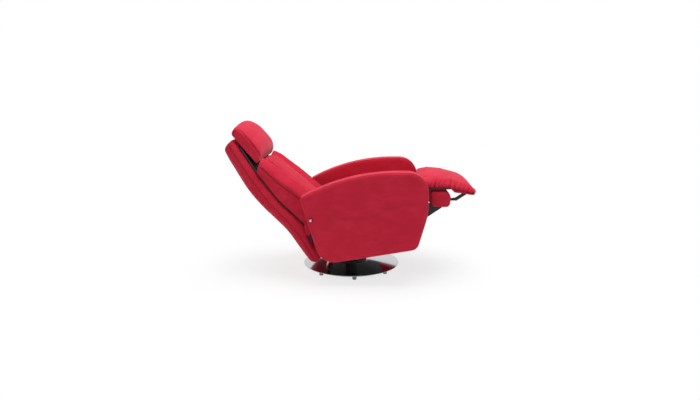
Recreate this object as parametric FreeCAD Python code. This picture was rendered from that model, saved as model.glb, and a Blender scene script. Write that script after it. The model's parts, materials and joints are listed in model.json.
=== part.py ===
import FreeCAD, Part
import math
import os

os.makedirs("parts", exist_ok=True)

Vector = FreeCAD.Vector

# Swivel recliner, in millimetres. The origin is on the floor, on the swivel axis.
# The chair faces -Y, so a side view has "forward" (-Y) and "up" (+Z).
# At rest the back is reclined and the legrest is out.

# Driving sizes
overall_width = 740.0
arm_thickness = 90.0
soft_gap = 0.3            # free space that a soft or seated piece keeps
running_gap = 0.06        # radial clearance of a turning fit
press_gap = 0.05          # radial clearance of a fixed pin or a nut
bolt_play = 0.2           # radial clearance of a bolt in its hole
head_share = 1.8          # a bolt head's radius over its shank's
overrun = 1.0             # a cutting shape runs this far past what it cuts
side_share = 0.98         # of a side that its two corner arcs may take together

# Arms: side outline
arm_top = 625.0
arm_front = 411.0
arm_rear = -268.0
arm_rear_height = 487.0
arm_arch_radius = 1070.0
arm_arch_start = -10.0
arm_nose_radius = 108.0
arm_knee_height = 400.0
arm_foot_front = 358.0
arm_foot_front_height = 208.0
arm_foot_rear = -157.0
arm_foot_rear_height = 121.0
arm_wood_thickness = 30.0
arm_wood_inset = 16.0
arm_edge_round = 14.0

# Steel of the mechanism
plate_thickness = 5.0
tube_side = 30.0
tube_wall = 2.5
pin_radius = 6.0
boss_radius = 16.0
plate_foot = 3.0          # the side plates reach this far below the cross tubes
arm_bolt_radius = 4.0

# Base
disc_radius = 282.0
disc_sheet = 4.0
disc_edge_bevel = 1.0
disc_rim_bottom = 31.0
disc_rim_top = 35.0
disc_crown_height = 50.0
disc_flat_radius = 105.0
disc_hole_radius = 40.0
glide_count = 7
glide_circle = 235.0
glide_radius = 13.0
glide_height = 20.0
glide_turn = 5.4           # past the middle of the near side
weight_inner = 64.0
weight_outer = 252.0

# Post and swivel
flange_radius = 90.0
flange_thickness = 6.0
flange_bolt_count = 4
flange_bolt_circle = 50.0
flange_bolt_radius = 5.0
post_radius = 28.0
post_wall = 4.0
post_top = 150.0
bush_thickness = 4.0
bush_height = 16.0
sleeve_wall = 5.0
race_thickness = 2.5
ball_radius = 3.0
ball_count = 12
ball_circle = 19.0
king_bolt_radius = 8.0
turntable_side = 260.0
turntable_thickness = 6.0

# Underframe
rail_width = 40.0
rail_height = 20.0
rail_offset = 90.0
rail_front = 180.0
rail_rear = -150.0
front_tube_forward = 130.0
rear_tube_forward = -120.0
dust_cover_thickness = 2.5
dust_cover_front = 196.0
dust_cover_rear = -132.0

# Pivots, in the side view (forward, up)
recline_pivot = (-208.0, 368.0)
legrest_pivot = (356.0, 458.0)
flap_pivot = (legrest_pivot[0] - 66.0, legrest_pivot[1] - 44.0)
link_end = (flap_pivot[0] + 285.0, flap_pivot[1] + 44.0)

# Seat
seat_rail_thickness = 26.0
seat_rail_height = 34.0
seat_front = 330.0
seat_rear = -124.0
seat_front_height = 470.0
seat_rear_height = 390.0
seat_cross_rail = 30.0
strap_count = 5
strap_width = 56.0
strap_thickness = 3.0
seat_cushion_front = 386.0
seat_cushion_rear = -118.0
seat_cushion_thickness = 72.0
seat_nose_radius = 34.0

# Back
back_side_gap = 22.0       # from the arm's face to the side of the back
board_thickness = 8.0
board_side_gap = 18.0      # from the side of the back to the side of its board
bracket_gap = 3.7          # from the side plate to the back's bracket
cushion_swing_radius = 77.0

# Headrest
headrest_side_gap = 30.0
post_share = 0.6           # of the headrest's half width
post_near = 16.5           # from the shell's front to the post
post_width = 14.0
post_head = 190.0          # along the straight top part of the back, like the next two
guide_foot = -42.0
guide_head = 28.0
guide_wall = 3.0
headrest_travel = 60.0
post_foot = guide_foot + 12.0 - headrest_travel

# Legrest
pad_side_gap = 30.0        # from the arm's face to the side of the legrest
legrest_arm_gap = 33.7     # from the side plate to the legrest's swing arm
lever_pitch = 10.0         # from the legrest's arm to the flap's, and on to the link
pad_board_thickness = 12.0

# Recline strut
strut_front_pivot = (front_tube_forward, 243.0)
strut_back_pivot = (recline_pivot[0] + 12.0, recline_pivot[1] - 118.0)
strut_cylinder_radius = 14.0
strut_rod_radius = 5.0
strut_pin_radius = 4.0
link_pin_radius = 5.0
link_side_gap = 0.4       # from the link to the lugs beside it
link_play = 0.4           # the link's lower eye is this much wider than its pin
strut_eye_radius = 11.0
strut_eye_width = 12.0
strut_eye_play = 2.6      # the back's pin moves this far within the eye over the whole travel

# Sizes that follow
arm_outer = overall_width / 2
arm_inner = arm_outer - arm_thickness
plate_outer = arm_inner - soft_gap
plate_inner = plate_outer - plate_thickness
back_half_width = arm_inner - back_side_gap
board_half_width = back_half_width - board_side_gap
bracket_offset = plate_inner - bracket_gap - plate_thickness
headrest_half_width = arm_inner - headrest_side_gap
post_offset = headrest_half_width * post_share
pad_half_width = arm_inner - pad_side_gap
legrest_arm_offset = plate_inner - legrest_arm_gap - plate_thickness
flap_arm_offset = legrest_arm_offset - lever_pitch
link_offset = flap_arm_offset - lever_pitch


def point(x, side):
    """A point of the side view, at a place across the chair."""
    return Vector(x, -side[0], side[1])


def rounded_wire(x, corners):
    """A closed outline of straight runs joined by tangent arcs; a corner is (forward, up, radius).

    Where two arcs ask for more than their side has, they share it as they asked.
    """
    count = len(corners)
    places = [Vector(corner[0], corner[1], 0) for corner in corners]
    wanted = []
    half_angles = []
    for index in range(count):
        before = places[index - 1] - places[index]
        after = places[(index + 1) % count] - places[index]
        half_angles.append(before.getAngle(after) / 2)
        wanted.append(corners[index][2] / math.tan(half_angles[index]))
    starts = []
    middles = []
    ends = []
    for index in range(count):
        here = places[index]
        before = places[index - 1] - here
        after = places[(index + 1) % count] - here
        reach = wanted[index]
        for side, other in ((before, index - 1), (after, (index + 1) % count)):
            room = side_share * side.Length * wanted[index] / (wanted[index] + wanted[other])
            reach = min(reach, room)
        half_angle = half_angles[index]
        radius = reach * math.tan(half_angle)
        before.normalize()
        after.normalize()
        bisector = before + after
        bisector.normalize()
        starts.append(here + before * reach)
        ends.append(here + after * reach)
        middles.append(here + bisector * (radius / math.sin(half_angle) - radius))
    edges = []
    for index in range(count):
        start = point(x, starts[index])
        middle = point(x, middles[index])
        end = point(x, ends[index])
        edges.append(Part.Arc(start, middle, end).toShape())
        following = point(x, starts[(index + 1) % count])
        edges.append(Part.LineSegment(end, following).toShape())
    return Part.Wire(edges)


def slab(x_start, x_end, corners):
    """The outline's solid from one place across the chair to another."""
    face = Part.Face(rounded_wire(x_start, corners))
    return face.extrude(Vector(x_end - x_start, 0, 0))


def shifted_corners(corners, distances):
    """The outline with each side moved inwards by its own distance; side i runs from corner i to i + 1."""
    count = len(corners)
    area = 0.0
    for index in range(count):
        following = corners[(index + 1) % count]
        area += corners[index][0] * following[1] - following[0] * corners[index][1]
    turn = 1.0 if area > 0 else -1.0
    lines = []
    for index in range(count):
        start = corners[index]
        end = corners[(index + 1) % count]
        length = math.hypot(end[0] - start[0], end[1] - start[1])
        along = ((end[0] - start[0]) / length, (end[1] - start[1]) / length)
        inward = (-along[1] * turn, along[0] * turn)
        base = (start[0] + inward[0] * distances[index], start[1] + inward[1] * distances[index])
        lines.append((base, along))
    result = []
    for index in range(count):
        base_a, along_a = lines[index - 1]
        base_b, along_b = lines[index]
        cross = along_a[0] * along_b[1] - along_a[1] * along_b[0]
        offset = (base_b[0] - base_a[0], base_b[1] - base_a[1])
        travel = (offset[0] * along_b[1] - offset[1] * along_b[0]) / cross
        place = (base_a[0] + along_a[0] * travel, base_a[1] + along_a[1] * travel)
        result.append((place[0], place[1], corners[index][2]))
    return result


def grown(corners, distance):
    """An outline moved outwards on all its sides."""
    return shifted_corners(corners, [-distance] * len(corners))


def moved_line(line, distance):
    """An open line of points moved to its left by a distance, with its end points square to its ends."""
    result = []
    for index in range(len(line)):
        normals = []
        for first, second in ((index - 1, index), (index, index + 1)):
            if first >= 0 and second < len(line):
                along = (line[second][0] - line[first][0], line[second][1] - line[first][1])
                length = math.hypot(*along)
                normals.append((-along[1] / length, along[0] / length))
        normal = (sum(n[0] for n in normals), sum(n[1] for n in normals))
        size = math.hypot(*normal)
        normal = (normal[0] / size, normal[1] / size)
        stretch = distance / (normal[0] * normals[0][0] + normal[1] * normals[0][1])
        result.append((line[index][0] + normal[0] * stretch, line[index][1] + normal[1] * stretch))
    return result


def height_on_line(start, end, forward):
    """The height of a straight side line at a place forward."""
    share = (forward - start[0]) / (end[0] - start[0])
    return start[1] + (end[1] - start[1]) * share


def padded_solid(half_width, stations, corners, inset_at):
    """A cushion: side outlines at stations across the chair, drawn in by inset_at(station)."""
    wires = []
    for station in stations:
        inset = inset_at(station)
        wires.append(rounded_wire(station * half_width, shifted_corners(corners, inset)))
    return Part.makeLoft(wires, True, True)


def cylinder_across(x_start, x_end, side, radius):
    """A round bar along X through a point of the side view."""
    return Part.makeCylinder(radius, x_end - x_start, point(x_start, side), Vector(1, 0, 0))


def bored(solid, low, high, side, radius):
    """A solid with a round hole across it, from one place to another."""
    return solid.cut(cylinder_across(low - overrun, high + overrun, side, radius))


def placed(origin, outline):
    """An outline given by its distances from a pivot; a corner's radius stays as it is."""
    return [(origin[0] + corner[0], origin[1] + corner[1]) + tuple(corner[2:]) for corner in outline]


def both_ways(side_sign, near, far):
    """The lower and upper X of a stretch given by its distances from the middle plane."""
    values = sorted((side_sign * near, side_sign * far))
    return values[0], values[1]


def save(name, shape):
    """Write one node; a list is a group of separate solids."""
    if isinstance(shape, list):
        shape = Part.makeCompound(shape)
    shape.exportStep("parts/" + name + ".step")
    volume = shape.Volume
    print(name, "solids", len(shape.Solids), "volume", round(volume), "valid", shape.isValid())


sides = (("left", 1), ("right", -1))


# Base: disc, weight plate and glides

def disc_height(radius):
    """Height of the disc's upper face at a radius."""
    slope = (disc_crown_height - disc_rim_top) / (disc_radius - disc_sheet - disc_flat_radius)
    return disc_rim_top + slope * max(0.0, disc_radius - disc_sheet - max(radius, disc_flat_radius))


def turned_ring(section):
    """A ring turned about Z from (radius, height) corners."""
    points = [Vector(r, 0, z) for r, z in section]
    face = Part.Face(Part.makePolygon(points + points[:1]))
    return face.revolve(Vector(0, 0, 0), Vector(0, 0, 1), 360)


def around(shape, count, first_angle):
    """Copies of a shape spaced evenly about Z."""
    copies = []
    for index in range(count):
        copy = shape.copy()
        copy.rotate(Vector(0, 0, 0), Vector(0, 0, 1), first_angle + 360.0 * index / count)
        copies.append(copy)
    return copies


def make_base():
    rim_shoulder = disc_radius - disc_sheet
    under = disc_crown_height - disc_sheet
    disc = turned_ring([
        (disc_hole_radius, under), (disc_flat_radius, under), (rim_shoulder, disc_rim_bottom),
        (disc_radius, disc_rim_bottom + disc_edge_bevel), (disc_radius, disc_rim_top - disc_edge_bevel),
        (rim_shoulder, disc_rim_top),
        (disc_flat_radius, disc_crown_height), (disc_hole_radius, disc_crown_height)])
    bolt_hole = Part.makeCylinder(flange_bolt_radius + bolt_play, disc_sheet + 2 * overrun,
                                  Vector(flange_bolt_circle, 0, under - overrun))
    for hole in around(bolt_hole, flange_bolt_count, 45):
        disc = disc.cut(hole)
    save("base_disc", disc)

    weight_top = disc_height(weight_outer) - disc_sheet - soft_gap
    weight = turned_ring([
        (weight_inner, glide_height), (weight_outer, glide_height),
        (weight_outer, weight_top), (weight_inner, weight_top)])
    stem_radius = glide_radius * 0.3
    stem_length = 8.0
    stem_hole = Part.makeCylinder(stem_radius + press_gap, stem_length + soft_gap,
                                  Vector(glide_circle, 0, glide_height))
    for hole in around(stem_hole, glide_count, 180 + glide_turn):
        weight = weight.cut(hole)
    save("base_weight_plate", weight)

    foot = Part.makeCone(glide_radius * 0.85, glide_radius, glide_height, Vector(glide_circle, 0, 0))
    stem = Part.makeCylinder(stem_radius, stem_length, Vector(glide_circle, 0, glide_height))
    save("base_glides", around(foot.fuse(stem), glide_count, 180 + glide_turn))


def make_post():
    flange_top = disc_crown_height + flange_thickness
    post = Part.makeCylinder(flange_radius, flange_thickness, Vector(0, 0, disc_crown_height))
    tube = Part.makeCylinder(post_radius, post_top - disc_crown_height, Vector(0, 0, disc_crown_height))
    post = post.fuse(tube)
    hollow = Part.makeCylinder(post_radius - post_wall, post_top - disc_crown_height - post_wall,
                               Vector(0, 0, disc_crown_height))
    post = post.cut(hollow)
    post = post.cut(Part.makeCylinder(king_bolt_radius + bolt_play, post_top, Vector(0, 0, flange_top)))
    bolt_hole = Part.makeCylinder(flange_bolt_radius + bolt_play, flange_thickness + 2 * overrun,
                                  Vector(flange_bolt_circle, 0, disc_crown_height - overrun))
    for hole in around(bolt_hole, flange_bolt_count, 45):
        post = post.cut(hole)
    save("swivel_post", post.removeSplitter())

    head_height = 6.0
    nut_height = 7.0
    under = disc_crown_height - disc_sheet
    thread_end = 2.0
    nut_bottom = under - nut_height
    shank = Part.makeCylinder(flange_bolt_radius, flange_top - nut_bottom + thread_end,
                              Vector(flange_bolt_circle, 0, nut_bottom - thread_end))
    head = Part.makeCylinder(flange_bolt_radius * head_share, head_height,
                             Vector(flange_bolt_circle, 0, flange_top))
    nut = Part.makeCylinder(flange_bolt_radius * head_share, nut_height,
                            Vector(flange_bolt_circle, 0, nut_bottom))
    nut_hole = Part.makeCylinder(flange_bolt_radius + press_gap, nut_height,
                                 Vector(flange_bolt_circle, 0, nut_bottom))
    save("base_bolts", around(shank.fuse(head), flange_bolt_count, 45)
         + around(nut.cut(nut_hole), flange_bolt_count, 45))


def make_swivel():
    race_edge = 2.0
    cage_half_width = 5.0
    cage_half_height = 1.0
    race_outer = post_radius - race_edge
    race_inner = king_bolt_radius + race_edge
    ball_bottom = post_top + race_thickness
    plate_bottom = ball_bottom + 2 * ball_radius + race_thickness + 2 * press_gap
    bush_inner = post_radius + running_gap
    sleeve_inner = bush_inner + bush_thickness
    sleeve_outer = sleeve_inner + sleeve_wall
    sleeve_bottom = disc_crown_height + flange_thickness + 10.0

    save("bearing_lower_race", turned_ring([
        (race_inner, post_top), (race_outer, post_top),
        (race_outer, ball_bottom), (race_inner, ball_bottom)]))
    ball = Part.makeSphere(ball_radius - press_gap, Vector(ball_circle, 0, ball_bottom + ball_radius))
    save("bearing_balls", around(ball, ball_count, 0))
    cage_middle = ball_bottom + ball_radius
    cage = turned_ring([
        (ball_circle - cage_half_width, cage_middle - cage_half_height),
        (ball_circle + cage_half_width, cage_middle - cage_half_height),
        (ball_circle + cage_half_width, cage_middle + cage_half_height),
        (ball_circle - cage_half_width, cage_middle + cage_half_height)])
    pocket = Part.makeCylinder(ball_radius + press_gap, 4 * cage_half_height,
                               Vector(ball_circle, 0, cage_middle - 2 * cage_half_height))
    for hole in around(pocket, ball_count, 0):
        cage = cage.cut(hole)
    save("bearing_cage", cage)
    race_bottom = plate_bottom - race_thickness
    save("bearing_upper_race", turned_ring([
        (race_inner, race_bottom), (race_outer, race_bottom),
        (race_outer, plate_bottom), (race_inner, plate_bottom)]))

    sleeve = turned_ring([
        (sleeve_inner, sleeve_bottom), (sleeve_outer, sleeve_bottom),
        (sleeve_outer, plate_bottom), (sleeve_inner, plate_bottom)])
    half = turntable_side / 2
    corner = Vector(-half, -half, plate_bottom)
    plate = Part.makeBox(turntable_side, turntable_side, turntable_thickness, corner)
    plate = plate.cut(Part.makeCylinder(king_bolt_radius + running_gap, turntable_thickness,
                                        Vector(0, 0, plate_bottom)))
    save("turntable", plate.fuse(sleeve))

    bush_outer = sleeve_inner - 0.02
    bushes = []
    for bottom in (sleeve_bottom + 2, post_top - bush_height - 4):
        bushes.append(turned_ring([
            (bush_inner, bottom), (bush_outer, bottom),
            (bush_outer, bottom + bush_height), (bush_inner, bottom + bush_height)]))
    save("sleeve_bushes", bushes)

    washer_height = 2.0
    plate_top = plate_bottom + turntable_thickness
    washer_bottom = plate_top + 2 * press_gap
    head_bottom = washer_bottom + washer_height + 2 * press_gap
    head_height = 8.0
    nut_height = 12.0
    nut_top = post_top - post_wall
    shank_bottom = nut_top - nut_height - 4
    king = Part.makeCylinder(king_bolt_radius, head_bottom - shank_bottom, Vector(0, 0, shank_bottom))
    head_radius = king_bolt_radius * head_share
    king = king.fuse(Part.makeCylinder(head_radius, head_height, Vector(0, 0, head_bottom)))
    nut = turned_ring([
        (king_bolt_radius + press_gap, nut_top - nut_height),
        (king_bolt_radius * head_share, nut_top - nut_height),
        (king_bolt_radius * head_share, nut_top), (king_bolt_radius + press_gap, nut_top)])
    washer = turned_ring([
        (king_bolt_radius + press_gap, washer_bottom), (king_bolt_radius * 2, washer_bottom),
        (king_bolt_radius * 2, washer_bottom + washer_height),
        (king_bolt_radius + press_gap, washer_bottom + washer_height)])
    save("king_bolt", [king, nut, washer])
    return plate_top


# Underframe and side plates

def square_tube(start, size, length, direction):
    """A square tube from its lower corner, along X or along Y."""
    along_x = direction == "x"
    outer = Part.makeBox(length if along_x else size[0], size[0] if along_x else length, size[1], start)
    inner_start = Vector(start)
    inner_start.z += tube_wall
    if along_x:
        inner_start.y += tube_wall
    else:
        inner_start.x += tube_wall
    across = size[0] - 2 * tube_wall
    inner = Part.makeBox(
        length if along_x else across, across if along_x else length, size[1] - 2 * tube_wall,
        inner_start)
    return outer.cut(inner)


def make_underframe(plate_top):
    rails = []
    for _, sign in sides:
        low, _ = both_ways(sign, rail_offset - rail_width / 2, rail_offset + rail_width / 2)
        rails.append(square_tube(Vector(low, -rail_front, plate_top), (rail_width, rail_height),
                                 rail_front - rail_rear, "y"))
    save("underframe_rails", rails)
    tube_bottom = plate_top + rail_height
    for name, forward in (("front", front_tube_forward), ("rear", rear_tube_forward)):
        start = Vector(-plate_inner, -forward - tube_side / 2, tube_bottom)
        save("cross_tube_" + name, square_tube(start, (tube_side, tube_side), 2 * plate_inner, "x"))
    cover_top = plate_top - turntable_thickness - soft_gap
    cover = Part.makeBox(2 * plate_outer, dust_cover_front - dust_cover_rear, dust_cover_thickness,
                         Vector(-plate_outer, -dust_cover_front, cover_top - dust_cover_thickness))
    hole_radius = post_radius + bush_thickness + sleeve_wall + 3
    cover = cover.cut(Part.makeCylinder(hole_radius, plate_top, Vector(0, 0, 0)))
    save("dust_cover", cover)
    return tube_bottom


def make_side_plates(tube_bottom):
    reach = boss_radius
    back = recline_pivot
    front = legrest_pivot
    waist = (tube_bottom + flap_pivot[1]) / 2
    foot = tube_bottom - plate_foot
    corners = [
        (back[0] - reach, back[1] + reach, reach), (back[0] + 2 * reach, back[1] + reach, 20.0),
        (seat_rear, seat_rear_height + 4, 40.0), (front[0] - reach, front[1] + reach - 6, 20.0),
        (front[0] + reach, front[1] + reach, reach), (front[0] + reach, front[1] - reach, reach),
        (flap_pivot[0] + 2 * reach, flap_pivot[1] - 2 * reach, 40.0),
        (front_tube_forward + 3 * tube_side, waist, 60.0), (front_tube_forward + tube_side + 10, foot, 10.0),
        (rear_tube_forward - tube_side + 10, foot, 10.0), (back[0] + reach, waist, 40.0)]
    for name, sign in sides:
        low, high = both_ways(sign, plate_inner, plate_outer)
        plate = slab(low, high, corners)
        for pivot in (recline_pivot, legrest_pivot, flap_pivot):
            plate = bored(plate, low, high, pivot, pin_radius + running_gap)
        for spot in arm_bolt_spots():
            plate = bored(plate, low, high, spot, arm_bolt_radius + bolt_play)
        save("side_plate_" + name, plate)


def arm_bolt_spots():
    """Where the side plates are bolted to the wooden arm frames."""
    rear = rear_tube_forward
    front = front_tube_forward + tube_side * 0.7
    low = recline_pivot[1] - 118.0
    return (rear, low), (rear, low + 80.0), (front, low - 10.0), (front, low + 110.0)


# Arms

def arm_corners():
    return [
        (arm_rear, arm_rear_height, 12.0), (arm_arch_start, arm_top, arm_arch_radius),
        (arm_front, arm_top, arm_nose_radius), (arm_front + 1, arm_knee_height, 300.0),
        (arm_foot_front, arm_foot_front_height, 45.0), (arm_foot_rear, arm_foot_rear_height, 100.0)]


def make_arms():
    outline = arm_corners()
    count = len(outline)
    middle = arm_inner + arm_thickness / 2
    wood_low = middle - arm_wood_thickness / 2
    wood_high = middle + arm_wood_thickness / 2
    wood_outline = shifted_corners(outline, [arm_wood_inset] * count)
    pocket_outline = shifted_corners(outline, [arm_wood_inset - soft_gap] * count)
    small = shifted_corners(outline, [arm_edge_round] * count)
    shoulder = shifted_corners(outline, [arm_edge_round * 0.3] * count)
    bolt = recline_pivot
    shanks = []
    for name, sign in sides:
        low, high = both_ways(sign, wood_low, wood_high)
        wood = slab(low, high, wood_outline)
        wood = bored(wood, low, high, bolt, pin_radius + bolt_play)
        for spot in arm_bolt_spots():
            wood = bored(wood, low, high, spot, arm_bolt_radius + bolt_play)
        save("arm_frame_" + name, wood)
        for pad_name, face, pad_edge, rounding in (
                ("inner", arm_inner, middle - soft_gap / 2, arm_edge_round * 0.5),
                ("outer", arm_outer, middle + soft_gap / 2, arm_edge_round)):
            inward = 1 if face < middle else -1
            wires = [
                rounded_wire(sign * face, small),
                rounded_wire(sign * (face + inward * rounding * 0.35), shoulder),
                rounded_wire(sign * (face + inward * rounding), outline),
                rounded_wire(sign * pad_edge, outline)]
            pad = Part.makeLoft(wires, True, True)
            low, high = both_ways(sign, wood_low - soft_gap, wood_high + soft_gap)
            pad = pad.cut(slab(low, high, pocket_outline))
            low, high = both_ways(sign, arm_inner, arm_outer)
            pad = bored(pad, low, high, bolt, pin_radius + bolt_play)
            if pad_name == "inner":
                for spot in arm_bolt_spots():
                    pad = bored(pad, low, high, spot, arm_bolt_radius + bolt_play)
            save("arm_pad_" + pad_name + "_" + name, pad)
        for spot in arm_bolt_spots():
            low, high = both_ways(sign, plate_inner, wood_high - arm_bolt_radius)
            shank = cylinder_across(low, high, spot, arm_bolt_radius)
            low, high = both_ways(sign, plate_inner - arm_bolt_radius, plate_inner)
            shanks.append(shank.fuse(cylinder_across(low, high, spot, arm_bolt_radius * head_share)))
    save("arm_bolts", shanks)


def make_recline_bolts():
    head_height = 6.5
    head_round = 2.5
    nut_height = 4.5
    bolts = []
    washers = []
    for _, sign in sides:
        bracket_outer = bracket_offset + plate_thickness
        nut_inner = bracket_offset - soft_gap - nut_height
        low, high = both_ways(sign, nut_inner, arm_outer + soft_gap + overrun)
        shank = cylinder_across(low, high, recline_pivot, pin_radius)
        low, high = both_ways(sign, arm_outer + soft_gap, arm_outer + head_height)
        head = cylinder_across(low, high, recline_pivot, pin_radius * 1.15)
        outer_place = arm_outer + head_height - head_round
        rim = [edge for edge in head.Edges if abs(edge.CenterOfMass.x) > outer_place]
        head = head.makeFillet(head_round, [edge for edge in rim if len(edge.Vertexes) == 1])
        low, high = both_ways(sign, nut_inner, bracket_offset - soft_gap)
        bolts.append(shank.fuse(head).fuse(cylinder_across(low, high, recline_pivot, pin_radius * 1.5)))
        low, high = both_ways(sign, bracket_outer + soft_gap / 2, plate_inner - soft_gap / 2)
        washer = cylinder_across(low, high, recline_pivot, pin_radius * 2)
        washers.append(bored(washer, low, high, recline_pivot, pin_radius + press_gap * 2))
    save("recline_bolts", bolts)
    save("recline_washers", washers)


# Seat

def deck_height(forward):
    """Height of the top of the seat rails."""
    return height_on_line((seat_rear, seat_rear_height), (seat_front, seat_front_height), forward)


def seat_band(rear, front, low, high, edge_radius):
    """A side outline along the seat's slope, between two heights above the rails."""
    return [(rear, deck_height(rear) + low, edge_radius), (rear, deck_height(rear) + high, edge_radius),
            (front, deck_height(front) + high, edge_radius), (front, deck_height(front) + low, edge_radius)]


def make_seat():
    rail_high = plate_inner - soft_gap
    rail_low = rail_high - seat_rail_thickness
    for name, sign in sides:
        low, high = both_ways(sign, rail_low, rail_high)
        rail = seat_band(seat_rear, seat_front, -seat_rail_height, 0, 3.0)
        save("seat_rail_" + name, slab(low, high, rail))
    rear_end = seat_rear + seat_cross_rail
    front_start = seat_front - 4 - seat_cross_rail
    cross_rails = []
    for start, end in ((seat_rear, rear_end), (front_start, front_start + seat_cross_rail)):
        cross_rails.append(slab(-rail_low, rail_low, seat_band(start, end, -seat_cross_rail, 0, 3.0)))
    save("seat_cross_rails", cross_rails)
    straps = []
    pitch = 2 * rail_low / strap_count
    for index in range(strap_count):
        middle = (index - (strap_count - 1) / 2) * pitch
        band = seat_band(seat_rear + 4, seat_front - 8, soft_gap, soft_gap + strap_thickness, 1.0)
        straps.append(slab(middle - strap_width / 2, middle + strap_width / 2, band))
    save("seat_webbing", straps)

    bottom = strap_thickness + 2 * soft_gap
    top = bottom + seat_cushion_thickness
    rear = seat_cushion_rear
    lean = 22.0
    corners = [
        (rear, deck_height(rear) + bottom, 12.0), (rear - lean, deck_height(rear) + top, 26.0),
        (seat_cushion_front, deck_height(seat_cushion_front) + top - 6, seat_nose_radius),
        (seat_cushion_front, deck_height(seat_cushion_front) + bottom, 14.0)]

    def seat_inset(station):
        edge = abs(station)
        side_draw = 14.0 if edge > 0.99 else 5.0 if edge > 0.95 else 0.0
        crown = 12.0 * edge ** 2
        return [side_draw, crown + side_draw, side_draw * 0.8, side_draw * 0.5]

    stations = (-1, -0.97, -0.9, -0.6, -0.3, 0, 0.3, 0.6, 0.9, 0.97, 1)
    save("seat_cushion", padded_solid(plate_inner - 2, stations, corners, seat_inset))


# Back

shell_front = placed(recline_pivot, [
    (-10.0, -153.0), (-47.0, -50.0), (-192.0, 87.0), (-300.0, 230.0), (-423.0, 422.0)])
shell_front_radii = [20.0, 70.0, 500.0, 800.0, 12.0]
shell_rear = placed(recline_pivot, [
    (-481.0, 367.0, 30.0), (-333.0, 105.0, 700.0), (-136.0, -86.0, 400.0), (-12.0, -273.0, 34.0),
    (66.0, -273.0, 28.0)])
shell_lean = math.atan2(shell_front[-2][0] - shell_front[-1][0], shell_front[-1][1] - shell_front[-2][1])
board_top = shell_front[-1][1] - 55.0


def shell_front_at(height):
    """How far forward the shell's upper front line is at a height."""
    lower, upper = shell_front[-2], shell_front[-1]
    share = (height - lower[1]) / (upper[1] - lower[1])
    return lower[0] + (upper[0] - lower[0]) * share


def on_back(outline):
    """Corners given as (up, out, radius): up the back's straight top part, out from the shell's front."""
    foot = shell_front[-2]
    sine, cosine = math.sin(shell_lean), math.cos(shell_lean)
    return [(foot[0] - sine * up + cosine * out, foot[1] + cosine * up + sine * out, radius)
            for up, out, radius in outline]


def bar_on_back(low, high, near, far, radius, room=0.0):
    """The outline of a straight bar up the back, with room on all its sides."""
    return on_back([
        (low - room, near - room, radius), (high + room, near - room, radius),
        (high + room, far + room, radius), (low - room, far + room, radius)])


def post_outline(room=0.0):
    return bar_on_back(post_foot, post_head, post_near, post_near + post_width, 2.0, room)


def guide_outline():
    """The guide stands on the board, which bends away under the guide's foot."""
    board_face = 2 * soft_gap + board_thickness
    bend = 3.3
    far = post_near + post_width + guide_wall + 1.0
    return on_back([
        (guide_foot, board_face + bend, 1.0), (guide_head, board_face, 1.0), (guide_head, far, 2.0),
        (guide_foot, far, 2.0)])


def post_slabs(outline, stand_off):
    """A slab at each headrest post, wider than the post by stand_off on both sides."""
    solids = []
    for _, sign in sides:
        low, high = both_ways(sign, post_offset, post_offset + plate_thickness)
        solids.append(slab(low - stand_off, high + stand_off, outline))
    return solids


def board_line():
    """The side line that the back board follows, from its foot to its top."""
    return shell_front[:-1] + [(shell_front_at(board_top), board_top)]


def board_band(line, radii, near, far):
    """A band that lies in front of a line, between two distances from it."""
    inner = moved_line(line, -near)
    outer = moved_line(line, -far)
    band = [(p[0], p[1], r) for p, r in zip(inner, radii)]
    band += [(p[0], p[1], r) for p, r in zip(reversed(outer), reversed(radii))]
    return band


def make_back():
    corners = shell_rear + [(p[0], p[1], r) for p, r in zip(shell_front, shell_front_radii)]
    rear_count = len(shell_rear) - 1
    front_count = len(corners) - rear_count

    def shell_inset(station):
        edge = abs(station)
        side_draw = 16.0 if edge > 0.99 else 5.0 if edge > 0.95 else 1.0 if edge > 0.85 else 0.0
        return [side_draw + 8 * edge ** 2 - 7] * rear_count + [side_draw] * front_count

    stations = (-1, -0.97, -0.9, -0.8, -0.4, 0, 0.4, 0.8, 0.9, 0.97, 1)
    save("back_shell", padded_solid(back_half_width, stations, corners, shell_inset))

    line = board_line()
    radii = [3.0] + shell_front_radii[1:4] + [3.0]
    band = board_band(line, radii, soft_gap, soft_gap + board_thickness)
    save("back_board", slab(-board_half_width, board_half_width, band))

    lower, upper = shell_front[0], shell_front[1]
    tab_line = []
    for share in (0.5, 0.9):
        tab_line.append([low + (high - low) * share for low, high in zip(lower, upper)])
    tab = board_band(tab_line, [1.0, 1.0], soft_gap, soft_gap + board_thickness)
    pivot = recline_pivot
    boss = boss_radius
    plate = placed(pivot, [(boss, -boss, boss), (boss * 0.6, boss, boss), (-boss, boss * 0.6, boss)])
    plate += placed(tab_line[1], [(-4.0, 4.0, 6.0)])
    plate += placed(tab_line[0], [(-4.0, -5.0, 6.0), (12.0, -5.0, 8.0)])
    for name, sign in sides:
        low, high = both_ways(sign, bracket_offset, bracket_offset + plate_thickness)
        bracket = slab(low, high, plate)
        bracket = bored(bracket, low, high, pivot, pin_radius + running_gap)
        low, high = both_ways(sign, board_half_width, bracket_offset + plate_thickness)
        save("back_bracket_" + name, bracket.fuse(slab(low, high, tab)))

    make_back_cushion(tab)


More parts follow.
